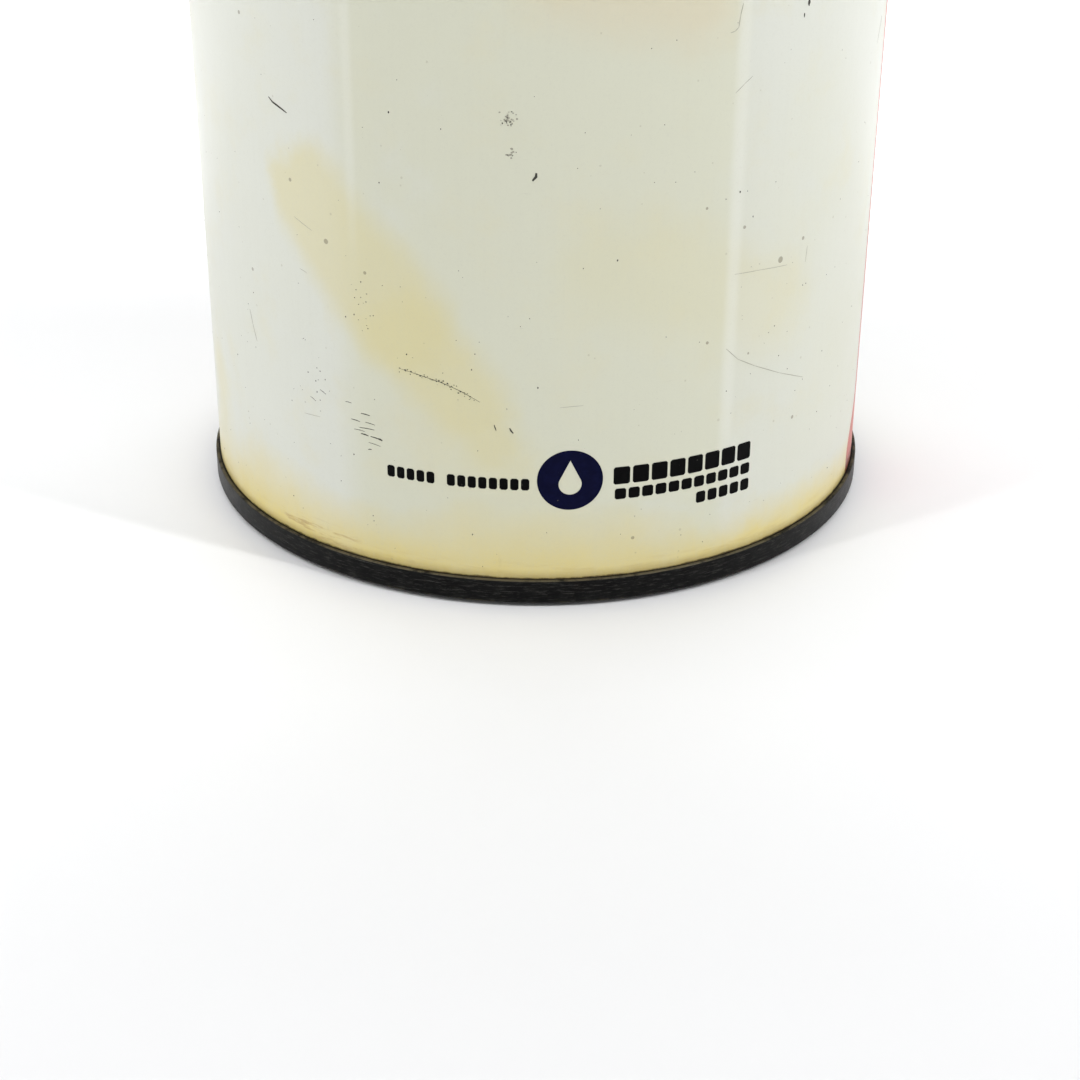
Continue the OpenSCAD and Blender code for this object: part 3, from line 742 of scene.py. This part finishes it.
# ------------------------------------------------------------------ element: caps, adhesive, paper, clip, tube
def build_cap(name, node, z, updir, hole):
    # a pressed bead stiffens the disc; the skirt's rim is rounded
    def Z(v):
        return z + updir * v
    pts = [(hole, 0.0, 0.08), (19.0, 0.0, 0.5), (20.0, 0.0, 0.4), (CAP_R, 0.0, 1.0), (CAP_R, 4.0, 0.15),
           (CAP_R - CAP_T, 4.0, 0.15), (CAP_R - CAP_T, CAP_T, 0.6), (hole, CAP_T, 0.08)]
    outline = fillet([(r, Z(v), *q) for r, v, *q in pts])

    def bend(r, zz, a, i):
        v = (zz - z) * updir
        if v < CAP_T + 1e-6 and r < 38:
            w = math.exp(-((r - 28.0) / 1.1) ** 2)
            return r, zz + updir * 0.28 * w * (1 if v < 0.2 else 1)
        return r, zz
    outline = densify(outline, 0.7, lambda a, b: abs(a[1] - b[1]) < 1e-6 and max(a[0], b[0]) < 40)
    ob = lathe(name, outline, "tin", "element", 160, bend, 40)
    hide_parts(node)


build_cap("element_lower_cap", "bottom_end_cap", EL_Z, 1, HUB_R + 0.45)
build_cap("element_upper_cap", "top_end_cap", EL_TOP, -1, SEAT_R)


def build_potting(name, node, z, updir):
    # the adhesive rises a little against the tube and the skirt
    ro = CAP_R - CAP_T
    pts = [(TUBE_R, 0.35), (ro - 0.8, 0.35, 0.3), (ro, 0.9, 0.3), (ro, 2.5), (ro - 0.6, 2.32), (ro - 2.0, 2.2),
           (TUBE_R + 1.8, 2.2), (TUBE_R + 0.5, 2.32), (TUBE_R, 2.5)]
    outline = densify(fillet([(p[0], z + updir * p[1], *p[2:]) for p in pts]), 1.2)

    def bend(r, zz, a, i):
        v = (zz - z) * updir
        if v > 2.0 and TUBE_R + 1 < r < ro - 1:
            w = noise.noise(Vector((math.cos(a) * r * 0.35, math.sin(a) * r * 0.35, 1.0)))
            return r, zz + updir * (0.16 * w)
        return r, zz
    ob = lathe(name, outline, "glue", "element", 160, bend, 40)
    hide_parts(node)


build_potting("lower_adhesive", "bottom_potting", EL_Z + CAP_T - 0.35, 1)
build_potting("upper_adhesive", "top_potting", EL_TOP - CAP_T + 0.35, -1)


def build_paper():
    """One strip folded into pleats, with round folds and a little hand-made unevenness."""
    rnd = random.Random(7)
    n, t = 60, 0.6
    ro, ri = 39.2 - t / 2, TUBE_R + 1.3 + t / 2
    fold = 2 * math.pi / n
    line = [(ro, math.radians(0.47))]
    for k in range(n):
        a = (k + 0.5) * fold + rnd.uniform(-0.12, 0.12) * math.radians(1.0)
        h = math.radians(20 / ri)
        for q in (-1.0, -0.7, 0.0, 0.7, 1.0):
            line.append((ri + (0.30 if abs(q) == 1.0 else 0.08 if abs(q) == 0.7 else 0.0), a + q * h))
        if k < n - 1:
            a = (k + 1) * fold + rnd.uniform(-1, 1) * math.radians(0.35)
            h = math.radians(46 / ro)
            dr = rnd.uniform(-0.35, 0.0)
            for q in (-1.0, -0.8, -0.4, 0.0, 0.4, 0.8, 1.0):
                line.append((ro + dr - 0.55 * abs(q) ** 3, a + q * h))
    line.append((ro, -math.radians(0.47)))
    z0, z1 = EL_Z + CAP_T + 2.0, EL_TOP - CAP_T - 2.0
    rows = 24
    side = []
    pts = [Vector((r * math.cos(a), r * math.sin(a))) for r, a in line]
    m = len(pts)
    for i in range(m):
        a = (pts[min(i + 1, m - 1)] - pts[min(i, m - 2)]).normalized()
        b = (pts[max(i, 1)] - pts[max(i - 1, 0)]).normalized()
        la, lb = Vector((-a.y, a.x)), Vector((-b.y, b.x))
        mv = (la + lb).normalized()
        side.append(mv / max(0.5, mv.dot(la)) * (t / 2))
    ring = [p + s for p, s in zip(pts, side)] + [p - s for p, s in reversed(list(zip(pts, side)))]
    k = len(ring)
    verts, faces = [], []
    for j in range(rows + 1):
        f = j / rows
        z = z0 + (z1 - z0) * f
        ends = math.sin(math.pi * f) ** 0.6
        for p in ring:
            r, a = p.length, math.atan2(p.y, p.x)
            free = max(0.0, (r - ri) / (ro - ri))
            tw = noise.noise(Vector((math.cos(a) * 6, math.sin(a) * 6, z * 0.05))) * 0.30 * free * ends
            near = min(1.0, abs(a) / 0.25)
            a += tw * near / r
            verts.append((r * math.cos(a), r * math.sin(a), z))
    for j in range(rows):
        for i in range(k):
            q = (i + 1) % k
            faces.append((j * k + i, j * k + q, (j + 1) * k + q, (j + 1) * k + i))
    half = k // 2
    for base in (0, rows * k):
        for i in range(half - 1):
            faces.append((base + i, base + i + 1, base + k - 2 - i, base + k - 1 - i))
    ob = make("pleated_paper", verts, faces, "paper", "element", 40)
    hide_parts("filter_media")


build_paper()


def build_clip():
    ro = 39.2 + 0.35
    pts = [(ro - 5, 1.05), (ro - 0.3, 1.05, 0.25), (ro - 0.3, -1.05, 0.25), (ro - 5, -1.05), (ro - 5, -1.35),
           (ro, -1.35, 0.5), (ro, 1.35, 0.5), (ro - 5, 1.35)]
    ring = fillet(pts)
    z0, z1 = EL_Z + CAP_T + 2.5, EL_TOP - CAP_T - 2.5
    rows, k = 60, len(ring)
    verts, faces = [], []
    for j in range(rows + 1):
        z = z0 + (z1 - z0) * j / rows
        dent = 0.16 * max(0.0, math.cos(z * 2 * math.pi / 9.0)) ** 6      # crimped every 9 mm
        for x, y in ring:
            w = dent if x < ro - 1.2 else 0.0
            verts.append((x, y - math.copysign(w, y), z))
    for j in range(rows):
        for i in range(k):
            q = (i + 1) % k
            faces.append((j * k + i, j * k + q, (j + 1) * k + q, (j + 1) * k + i))
    bot = list(range(k))
    top = [rows * k + i for i in range(k)]
    faces.append(bot[::-1])
    faces.append(top)
    ob = make("paper_seam_clip", verts, faces, "tube", "element", 40)
    bm = bmesh.new()
    bm.from_mesh(ob.data)
    bmesh.ops.triangulate(bm, faces=[f for f in bm.faces if len(f.verts) > 4])
    bm.to_mesh(ob.data)
    bm.free()
    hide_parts("media_seam_clip")


build_clip()


def coil(name, node, mat, z0, z1, d, wire, turns, ring=14, seg=40):
    """Round-wire compression spring with closed ends ground flat, standing between z0 and z1."""
    h = z1 - z0 - wire
    dead = 1.03 * wire
    n = int(turns * seg)

    def lift(a):
        if a < 1:
            return dead * a * a * (3 - 2 * a) * 0.5 + dead * a * 0.5
        if a > turns - 1:
            b = turns - a
            return h - (dead * b * b * (3 - 2 * b) * 0.5 + dead * b * 0.5)
        return dead + (h - 2 * dead) * (a - 1) / (turns - 2)
    verts, faces = [], []
    for i in range(n + 1):
        a = i * turns / n
        for j in range(ring):
            b = 2 * math.pi * j / ring
            r = d / 2 + wire / 2 * math.cos(b)
            z = z0 + wire / 2 + lift(a) + wire / 2 * math.sin(b)
            z = min(max(z, z0 + 0.0), z1 - 0.0)
            verts.append((r * math.cos(2 * math.pi * a), r * math.sin(2 * math.pi * a), z))
    for i in range(n):
        for j in range(ring):
            k = (j + 1) % ring
            faces.append((i * ring + j, (i + 1) * ring + j, (i + 1) * ring + k, i * ring + k))
    faces.append(tuple(range(ring)))
    faces.append(tuple(n * ring + j for j in reversed(range(ring))))
    ob = make(name, verts, faces, mat, None, 50)
    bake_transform(ob)
    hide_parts(node)


coil("element_coil_spring", "element_spring", "spring", EL_TOP + 0.53, TOTAL_H - CAN_T - 0.03,
     32.0, 2.0, 5)
coil("bypass_coil_spring", "bypass_valve_spring", "spring", RETAINER_Z + 0.83, VPLATE_Z - 0.03,
     12.0, 1.0, 6)


# ------------------------------------------------------------------ CAD nodes that keep their own shape
for node, mat, slot in (
        ("seam_sealant", "compound", "sealing_compound"), ("center_tube", "tube", "tube_steel"),
        ("bypass_valve_housing", "zinc", "plated_steel"), ("bypass_spring_retainer", "zinc", "plated_steel"),
        ("bypass_valve_plate", "tin", "plated_steel"), ("bypass_valve_facing", "flap", "valve_rubber"),
        ("bypass_valve_stem", "tin", "plated_steel"), ("spring_seat", "zinc", "plated_steel")):
    ob = NODE[node]
    if not ob.material_slots:
        ob.data.materials.append(M[mat])
    for s in ob.material_slots:
        s.material = M[mat]


# ------------------------------------------------------------------ print on the wall, as thin ink
def skin(name, patches, mat, lift=0.016, thick=0.012, step=1.0, parts=None):
    """Thin closed ink on the wall. Each patch is a list of (s, z) outlines as triangles or a grid function."""
    verts, faces = [], []

    def point(s, z, h):
        a = s / CAN_R - math.pi / 2
        r = CAN_R - ripple(a % (2 * math.pi), z) + h
        verts.append((r * math.cos(a), r * math.sin(a), z))
        return len(verts) - 1
    for pts, tris in patches:
        top = [point(s, z, lift) for s, z in pts]
        low = [point(s, z, lift - thick) for s, z in pts]
        count = {}
        for t in tris:
            faces.append([top[i] for i in t])
            faces.append([low[i] for i in reversed(t)])
            for u, v in zip(t, t[1:] + t[:1]):
                count[(u, v)] = 1
        for u, v in count:
            if (v, u) not in count:
                faces.append([top[v], top[u], low[u], low[v]])
    ob = make(name, verts, faces, mat, "housing", 60)
    return ob


def grid_patch(s0, s1, z0, z1, step=1.2, shape=None):
    """A rectangle of the wall, as a grid; shape(u, v) may return a moved (s, z)."""
    nu = max(2, int(math.ceil(abs(s1 - s0) / step)))
    nv = max(1, int(math.ceil(abs(z1 - z0) / (step * 2))))
    pts, tris = [], []
    for j in range(nv + 1):
        for i in range(nu + 1):
            u, v = i / nu, j / nv
            pts.append(shape(u, v) if shape else (s0 + (s1 - s0) * u, z0 + (z1 - z0) * v))
    for j in range(nv):
        for i in range(nu):
            a = j * (nu + 1) + i
            tris.append([a, a + 1, a + nu + 2, a + nu + 1])
    return pts, tris


def disc_patch(s, z, r, squash=1.0, rings=5, segs=48, inner=None):
    """A disc, or a ring that starts at inner(angle)."""
    pts, tris = [], []
    for k in range(rings + 1):
        for j in range(segs):
            a = 2 * math.pi * j / segs
            r0 = inner(a) if inner else 0.02
            q = r0 + (r - r0) * k / rings
            pts.append((s + q * math.cos(a), z + q * math.sin(a) * squash))
    for k in range(rings):
        for j in range(segs):
            i = (j + 1) % segs
            tris.append([k * segs + j, (k + 1) * segs + j, (k + 1) * segs + i, k * segs + i])
    if not inner:
        c = len(pts)
        pts.append((s, z))
        for j in range(segs):
            tris.append([c, j, (j + 1) % segs])
    return pts, tris


def tile(s0, s1, z0, z1, r=0.22):
    """A small tile with round corners."""
    pts = [(s0 + r, z0), (s1 - r, z0), (s1, z0 + r), (s1, z1 - r), (s1 - r, z1), (s0 + r, z1), (s0, z1 - r),
           (s0, z0 + r)]
    return pts, [[0, 1, 2, 7], [7, 2, 3, 6], [6, 3, 4, 5]]


def tiles(s0, s1, z0, z1, count, gap, skip=()):
    w = (s1 - s0 - gap * (count - 1)) / count
    return [tile(s0 + i * (w + gap), s0 + i * (w + gap) + w, z0, z1)
            for i in range(count) if i not in skip]


bars = tiles(-19.3, -0.8, 16.4, 18.0, 14, 0.30, skip=(5,))
bars += tiles(9.8, 29.5, 16.75, 19.15, 8, 0.36)
bars += tiles(10.0, 29.5, 14.65, 16.15, 11, 0.32)
bars += tiles(21.2, 29.5, 12.3, 13.9, 5, 0.36)
skin("print_bars", bars, "black_ink")


def drop_edge(a):
    """Outline of an oil drop about the badge's centre, as a radius for each direction."""
    best = 1.35
    for k in range(24):                      # the point of the drop
        f = k / 24
        y = -0.55 + 3.15 * f
        w = 1.35 * math.cos(f * math.pi / 2) ** 1.15
        q = math.hypot(w, y)
        b = math.atan2(y, w)
        m = math.atan2(math.sin(a), abs(math.cos(a)))
        if abs(b - m) < 0.09:
            best = max(best, q)
    return best


def drop_radius(a):
    # drop = circle below, two tangent flanks to a point above
    r, top = 1.45, 2.75
    ca, sa = math.cos(a), math.sin(a)
    cy = -0.55
    # ray from the origin against the circle centred (0, cy)
    b = sa * cy
    disc = b * b - (cy * cy - r * r)
    q = b + math.sqrt(disc)
    # flanks: tangents from (0, top) to the circle
    d = top - cy
    t = math.asin(r / d)
    # line through (0, top) with direction (sin t, -cos t); inside is towards the axis
    nx, ny = math.cos(t), math.sin(t)
    k = top * ny
    den = abs(ca) * nx + sa * ny
    tangent_y = cy + r * ny
    if den > 1e-6:
        lim = k / den
        if lim * sa > tangent_y:
            return min(lim, 6.0)
    return q


skin("print_badge", [disc_patch(4.3, 17.75, 4.15, 0.99, 5, 96, drop_radius)], "navy_ink")


def red_edge(u, v):
    """A stripe up the can's side; its foot widens towards the front."""
    z = 3.95 + (112.0 - 3.95) * v
    foot = min(1.0, max(0.0, (15.5 - z) / 9.0))
    left = 77.0 - 5.6 * foot * foot * (3 - 2 * foot)
    return CAN_R * math.radians(left + (88.0 - left) * u), z


skin("red_stripe", [grid_patch(CAN_R * math.radians(77.0), CAN_R * math.radians(88.0), 3.95, 112.0, 0.9, red_edge)],
     "red_ink", lift=0.012, thick=0.009)
skin("teal_stripe", [grid_patch(CAN_R * math.radians(-84.0), CAN_R * math.radians(-72.5), 69.5, 112.0, 1.2)],
     "teal_ink", lift=0.012, thick=0.009)


# ------------------------------------------------------------------ scratches and specks in the paint
def streak(points, width):
    """A tapering scratch along points."""
    n = len(points)
    pts, tris = [], []
    for i, (s, z) in enumerate(points):
        a = Vector(points[max(i - 1, 0)])
        b = Vector(points[min(i + 1, n - 1)])
        d = (b - a).normalized()
        w = width * (0.25 + 0.75 * math.sin(math.pi * (i + 0.5) / n)) / 2
        pts += [(s - d.y * w, z + d.x * w), (s + d.y * w, z - d.x * w)]
    for i in range(n - 1):
        tris.append([2 * i, 2 * i + 1, 2 * i + 3, 2 * i + 2])
    return pts, tris


def chip(s, z, w, h, rnd):
    k = 9
    pts = [(s + w * math.cos(2 * math.pi * j / k) * rnd.uniform(0.6, 1.0),
            z + h * math.sin(2 * math.pi * j / k) * rnd.uniform(0.6, 1.0)) for j in range(k)]
    pts.append((s, z))
    return pts, [[k, j, (j + 1) % k] for j in range(k)]


def build_marks():
    rnd = random.Random(19)
    dark = [streak([(-35.9, 62.45), (-35.2, 61.95), (-34.4, 61.7), (-33.5, 61.4), (-32.7, 61.1)], 0.25),
            chip(35.2, 74.2, 0.27, 0.55, rnd), chip(34.48, 72.85, 0.13, 0.32, rnd),
            streak([(-0.10, 57.45), (-0.13, 57.0), (-0.55, 56.5)], 0.34),
            streak([(-5.15, 25.25), (-5.06, 24.9), (-4.92, 24.5)], 0.15),
            streak([(-3.25, 24.9), (-3.08, 24.55), (-2.80, 24.2)], 0.22),
            chip(25.6, 53.0, 0.13, 0.20, rnd), chip(27.8, 49.5, 0.10, 0.16, rnd)]
    # a group of short scratches, all drawn the same way
    for a, b, w in (((-22.9, 24.3), (-21.6, 24.25), 0.13), ((-24.4, 23.2), (-23.1, 23.1), 0.10),
                    ((-23.2, 22.3), (-21.0, 22.4), 0.09), ((-23.0, 21.5), (-21.9, 21.4), 0.17),
                    ((-21.6, 21.4), (-20.0, 21.2), 0.14), ((-20.5, 21.3), (-19.9, 21.15), 0.24),
                    ((-22.0, 19.5), (-21.5, 19.6), 0.13), ((-25.2, 25.4), (-24.3, 25.4), 0.08),
                    ((-22.3, 23.2), (-20.9, 23.1), 0.08), ((-24.0, 21.9), (-22.4, 21.9), 0.07),
                    ((-21.9, 20.5), (-20.2, 20.3), 0.07), ((-29.3, 26.0), (-28.3, 25.6), 0.08),
                    ((-31.0, 24.6), (-30.1, 24.2), 0.07)):
        dark.append(streak([a, ((a[0] + b[0]) / 2, (a[1] + b[1]) / 2 + 0.04), b], w))
    # a long broken scratch across the stain
    path = [(-17.3, 31.5), (-14.6, 31.0), (-11.9, 30.4), (-9.4, 29.5), (-6.9, 28.2)]
    dark.append(streak(path, 0.07))
    for k in range(46):
        f = rnd.random() * (len(path) - 1.001)
        a, b = path[int(f)], path[int(f) + 1]
        f -= int(f)
        r = rnd.uniform(0.05, 0.12)
        dark.append(chip(a[0] + (b[0] - a[0]) * f + rnd.gauss(0, 0.15), a[1] + (b[1] - a[1]) * f + rnd.gauss(0, 0.2),
                         r * 1.3, r, rnd))
    for k in range(520):
        s = rnd.uniform(-141, 141)
        z = rnd.uniform(6, 118) if rnd.random() < 0.7 else rnd.uniform(5, 40)
        r = rnd.uniform(0.035, 0.085) if rnd.random() < 0.9 else rnd.uniform(0.08, 0.13)
        dark.append(chip(s, z, r, r * rnd.uniform(0.8, 1.5), rnd))
    # pepper where something rubbed: two spots above, one in the stain
    for cx, cz, sx, sz, n in ((-3.15, 63.6, 0.60, 0.48, 16), (-3.15, 59.6, 0.28, 0.22, 5), (-21.0, 39.5, 2.4, 2.6, 22),
                              (-29.0, 26.5, 2.0, 1.6, 12), (30.0, 34.0, 4.0, 4.0, 10)):
        for _ in range(n):
            r = rnd.uniform(0.04, 0.11)
            dark.append(chip(rnd.gauss(cx, sx), rnd.gauss(cz, sz), r, r * rnd.uniform(0.8, 1.4), rnd))
    skin("paint_chips", dark, "mark", lift=0.020, thick=0.012)
    pale = []
    for cx, cz, sx, sz, n in ((-3.1, 63.65, 0.50, 0.36, 24), (-3.15, 59.6, 0.26, 0.2, 8)):
        for _ in range(n):
            r = rnd.uniform(0.07, 0.17)
            pale.append(chip(rnd.gauss(cx, sx), rnd.gauss(cz, sz), r * 1.3, r, rnd))
    # the last two paths are painted shade: a darker line where a small dent in the wall is shaded
    for path, w in (([(25.4, 42.55), (29.4, 42.3), (34.2, 41.85)], 0.06),
                    ([(24.7, 32.9), (26.6, 31.1), (29.4, 29.55), (34.1, 27.3), (39.1, 25.2)], 0.08),
                    ([(-43.0, 33.0), (-42.4, 31.0), (-41.6, 29.0)], 0.10), ([(26.6, 66.9), (25.4, 66.1), (24.2, 65.2)], 0.07),
                    ([(24.7, 75.6), (24.35, 74.2), (24.2, 72.9)], 0.09), ([(24.2, 72.9), (23.7, 72.5), (23.1, 72.4)], 0.08)):
        for k in range(len(path) - 1):
            a, b = path[k], path[k + 1]
            pale.append(streak([(a[0] + (b[0] - a[0]) * f / 4, a[1] + (b[1] - a[1]) * f / 4) for f in range(5)], w))
    for _ in range(46):
        s, z = rnd.uniform(-141, 141), rnd.uniform(8, 116)
        if -26 < s < 32 and 8 < z < 22:
            continue
        l, a = rnd.uniform(0.8, 4.0), rnd.gauss(0.1, 0.5)
        pale.append(streak([(s + l * math.cos(a) * f, z + l * math.sin(a) * f) for f in (0, .25, .5, .75, 1)], 0.055))
    skin("paint_scuffs_and_dent_shade", pale, "smudge", lift=0.018, thick=0.010)


build_marks()

# ------------------------------------------------------------------ floor, lights and background
me = bpy.data.meshes.new("floor")
me.from_pydata([(-3, -3, 0), (3, -3, 0), (3, 3, 0), (-3, 3, 0)], [], [(0, 1, 2, 3)])
floor = bpy.data.objects.new("floor", me)
bpy.context.scene.collection.objects.link(floor)
g = Graph("white_table_painted_shade_and_glow")
# painted shade: the floor is darker towards the front, down to 80 % of its colour
near = g.m("SUBTRACT", 1.0, g.mul(g.m("SUBTRACT", -69.0, g.y), 0.0016))
near = g.mn(g.mx(near, 0.80), 1.0)
shade = g.nt.nodes.new("ShaderNodeVectorMath")
shade.operation = "SCALE"
shade.inputs[0].default_value = (0.866, 0.869, 0.880)
g.put(shade.inputs["Scale"], near)
g.put(g.bsdf.inputs["Emission Color"], (1.0, 1.0, 1.0))
# painted light: the floor glows behind the can and far from it, though it is no lamp
far = g.m("SQRT", g.add(g.mul(g.x, g.x), g.mul(g.y, g.y)))
g.put(g.bsdf.inputs["Emission Strength"], g.mx(g.ss(g.y, 45.0, 150.0, 0.0, 0.45), g.ss(far, 300.0, 900.0, 0.0, 0.68)))
me.materials.append(g.set(color=shade.outputs[0], rough=0.5, ior=1.4))


def softbox(name, pos, aim, size, watts, colour=(1, 1, 1)):
    d = bpy.data.lights.new(name, "AREA")
    d.shape, d.size, d.size_y = "RECTANGLE", size[0], size[1]
    d.energy, d.color = watts, colour
    o = bpy.data.objects.new(name, d)
    bpy.context.scene.collection.objects.link(o)
    o.location = pos
    o.rotation_euler = (Vector(aim) - Vector(pos)).to_track_quat("-Z", "Y").to_euler()
    return o


for side, low, high, strip, az in ((-1, 0.50, 0.46, 0.75, 31.6), (1, 0.50, 0.10, 1.45, 26.0)):
    # a long panel on each side; its front end is where the shadows' front edges start
    c, s = math.cos(math.radians(az)), math.sin(math.radians(az))
    x0, y0 = side * (0.42 * c - 0.0465 * s), -0.42 * s - 0.0465 * c
    tag = "left" if side < 0 else "right"
    softbox("panel_low_" + tag, (x0, y0 + 0.225, 0.20), (0, y0 + 0.225, 0.05), (0.45, 0.40), low)
    softbox("panel_high_" + tag, (x0, y0 + 0.225, 0.50), (0, y0 + 0.225, 0.05), (0.45, 0.20), high)
    softbox("strip_" + tag, (side * (0.5 * c - 0.0465 * s), -0.5 * s - 0.0465 * c, 0.48), (0, 0, 0.05),
            (0.03, 0.20), strip)
softbox("overhead_back", (0, 0.40, 0.60), (0, 0.10, 0), (0.90, 0.30), 3.35)
softbox("overhead_front", (0, -0.40, 0.65), (0, -0.05, 0), (0.80, 0.25), 1.08)

BACK_LIGHT, FRONT_LIGHT = 0.20, 0.85
world = bpy.data.worlds.new("studio")
bpy.context.scene.world = world
world.use_nodes = True
wt = world.node_tree
wt.nodes.clear()
wo = wt.nodes.new("ShaderNodeOutputWorld")
seen = wt.nodes.new("ShaderNodeBackground")
seen.inputs[0].default_value = (1, 1, 1, 1)
seen.inputs[1].default_value = 1.15
lit = wt.nodes.new("ShaderNodeBackground")
lit.inputs[0].default_value = (0.985, 0.992, 1.0, 1)
tc = wt.nodes.new("ShaderNodeTexCoord")
sep = wt.nodes.new("ShaderNodeSeparateXYZ")
wt.links.new(tc.outputs["Generated"], sep.inputs[0])


def lobe(sign, strength):
    """Light from one side of the room, strongest at that side's middle."""
    a = wt.nodes.new("ShaderNodeMath")
    a.operation, a.use_clamp = "MULTIPLY", True
    wt.links.new(sep.outputs[1], a.inputs[0])
    a.inputs[1].default_value = sign
    b = wt.nodes.new("ShaderNodeMath")
    b.operation = "MULTIPLY"
    wt.links.new(a.outputs[0], b.inputs[0])
    wt.links.new(a.outputs[0], b.inputs[1])
    c = wt.nodes.new("ShaderNodeMath")
    c.operation = "MULTIPLY"
    wt.links.new(b.outputs[0], c.inputs[0])
    c.inputs[1].default_value = strength
    return c.outputs[0]


both = wt.nodes.new("ShaderNodeMath")
wt.links.new(lobe(1.0, BACK_LIGHT), both.inputs[0])
wt.links.new(lobe(-1.0, FRONT_LIGHT), both.inputs[1])
wt.links.new(both.outputs[0], lit.inputs[1])
lp = wt.nodes.new("ShaderNodeLightPath")
mixw = wt.nodes.new("ShaderNodeMixShader")
wt.links.new(lp.outputs["Is Camera Ray"], mixw.inputs[0])
wt.links.new(lit.outputs[0], mixw.inputs[1])
wt.links.new(seen.outputs[0], mixw.inputs[2])
wt.links.new(mixw.outputs[0], wo.inputs[0])
